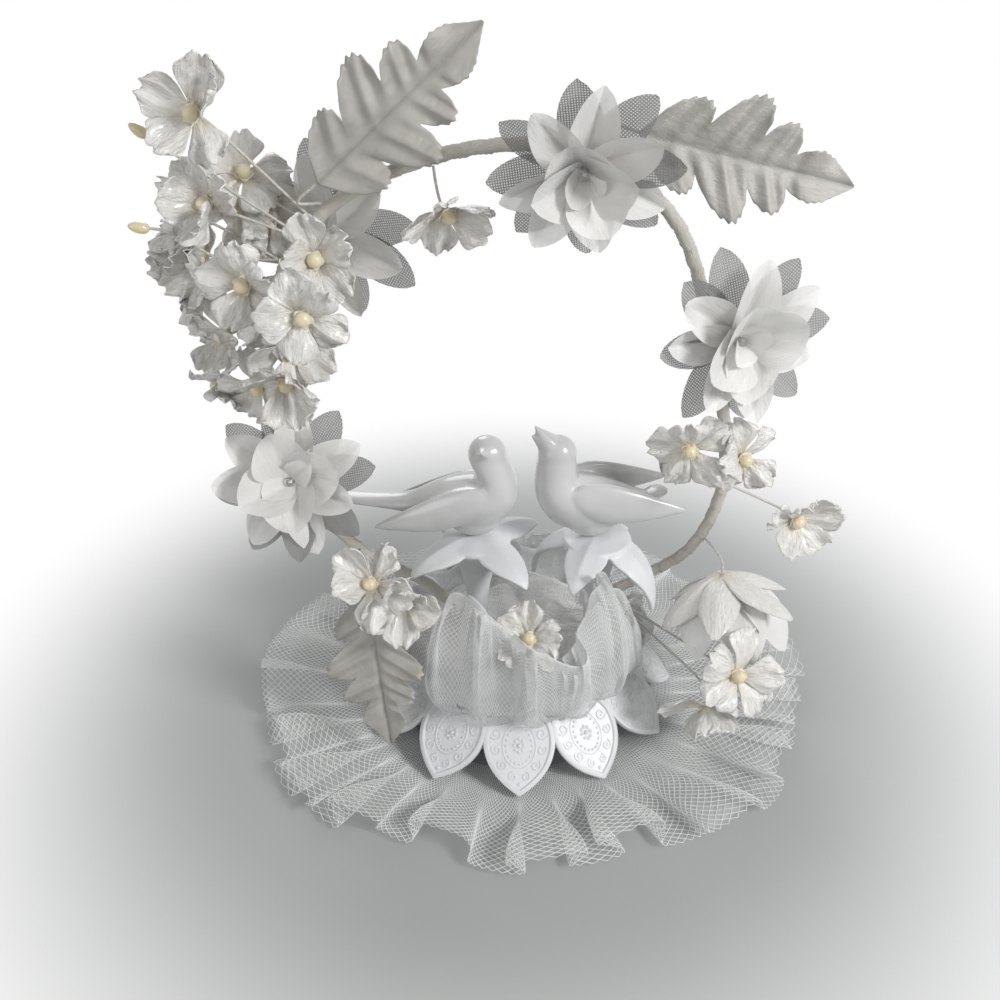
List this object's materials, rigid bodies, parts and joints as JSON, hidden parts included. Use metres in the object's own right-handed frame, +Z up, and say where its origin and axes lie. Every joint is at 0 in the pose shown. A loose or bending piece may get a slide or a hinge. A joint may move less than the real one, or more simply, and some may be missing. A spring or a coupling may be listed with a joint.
{
  "type": "wedding cake topper",
  "caption": "Cake topper with a pair of birds on lily perches inside a wire wreath of fabric flowers, on a moulded base with petal flaps and a tulle ruffle.",
  "frame": {"origin": "middle of the base's flat underside", "axes": "+Z up, -Y towards the front that the birds show, +X to the right seen from the front"},
  "size_m": [0.2215, 0.175, 0.2424],
  "materials": {
    "white_plastic": "glossy moulded white",
    "foam": "white expanded foam",
    "tulle": "white net",
    "satin": "crinkled white satin",
    "sheer": "sheer white organza",
    "tape": "waxed off-white floral tape",
    "wire": "bare florist's wire",
    "pearl": "cream pearl",
    "dew": "clear bead"
  },
  "bodies": {
    "topper": {"arch_tape": "tape", "arch_wire": "wire", "base_dish": "white_plastic", "bird_left": "white_plastic", "bird_right": "white_plastic", "blossom_front_centre": "satin", "blossom_left_low": "satin", "blossom_right_low": "satin", "blossom_right_pair": "satin", "blossom_spray_edge": "satin", "blossom_spray_front": "satin", "blossom_spray_inner": "satin", "blossom_spray_lower": "satin", "blossom_spray_middle": "satin", "blossom_spray_outer": "satin", "blossom_spray_upper": "satin", "dew_pick_back": "dew", "dew_pick_hanging": "dew", "dew_pick_left": "dew", "dew_pick_right": "dew", "dew_pick_top": "dew", "foam_block": "foam", "leaf_low": "satin", "leaf_low_wire": "tape", "pearl_front_centre": "pearl", "pearl_left_low": "pearl", "pearl_right_low": "pearl", "pearl_right_pair": "pearl", "pearl_spray_edge": "pearl", "pearl_spray_front": "pearl", "pearl_spray_inner": "pearl", "pearl_spray_lower": "pearl", "pearl_spray_middle": "pearl", "pearl_spray_outer": "pearl", "pearl_spray_upper": "pearl", "perch_left": "white_plastic", "perch_right": "white_plastic", "sheer_back_outer": "sheer", "sheer_hanging_inner": "sheer", "sheer_hanging_outer": "satin", "sheer_left_inner": "sheer", "sheer_left_outer": "sheer", "sheer_right_inner": "sheer", "sheer_right_outer": "sheer", "sheer_top_inner": "sheer", "sheer_top_outer": "sheer", "tulle_puff": "tulle", "tulle_skirt": "tulle"},
    "leaf_left": {"leaf_left": "satin", "leaf_left_wire": "tape"},
    "leaf_right": {"leaf_right": "satin", "leaf_right_wire": "tape"},
    "spray_top": {"blossom_spray_top": "satin", "pearl_spray_top": "pearl"},
    "right_loose": {"blossom_right_loose": "satin", "pearl_right_loose": "pearl"},
    "arch_single": {"blossom_arch_single": "satin", "pearl_arch_single": "pearl"},
    "bud_upper": {"pearl_bud_upper": "pearl"},
    "bud_lower": {"pearl_bud_lower": "pearl"}
  },
  "joints": [
    {"name": "leaf_left_bend", "type": "hinge", "parent": "topper", "child": "leaf_left", "pos_m": [-0.0594, 0.0027, 0.1881], "axis": [0.7293, 0, -0.6842], "range_deg": [-10, 18]},
    {"name": "leaf_right_bend", "type": "hinge", "parent": "topper", "child": "leaf_right", "pos_m": [0.0292, 0.0059, 0.1991], "axis": [-0.081, 0, -0.9967], "range_deg": [-15, 10]},
    {"name": "spray_top_bend", "type": "hinge", "parent": "topper", "child": "spray_top", "pos_m": [-0.0641, 0.0034, 0.1845], "axis": [0.787, 0, 0.617], "range_deg": [-8, 15]},
    {"name": "right_loose_bend", "type": "hinge", "parent": "topper", "child": "right_loose", "pos_m": [0.0737, 0.0033, 0.0898], "axis": [0, 1, 0], "range_deg": [-20, 10]},
    {"name": "arch_single_bend", "type": "hinge", "parent": "topper", "child": "arch_single", "pos_m": [-0.0262, 0.0038, 0.1989], "axis": [-0.9379, 0, -0.347], "range_deg": [-10, 15]},
    {"name": "bud_upper_bend", "type": "hinge", "parent": "topper", "child": "bud_upper", "pos_m": [-0.0688, 0.0038, 0.1794], "axis": [0.6091, 0, 0.7931], "range_deg": [-8, 8]},
    {"name": "bud_lower_bend", "type": "hinge", "parent": "topper", "child": "bud_lower", "pos_m": [-0.0787, 0.0029, 0.1619], "axis": [0.6091, 0, 0.7931], "range_deg": [-6, 15]}
  ]
}
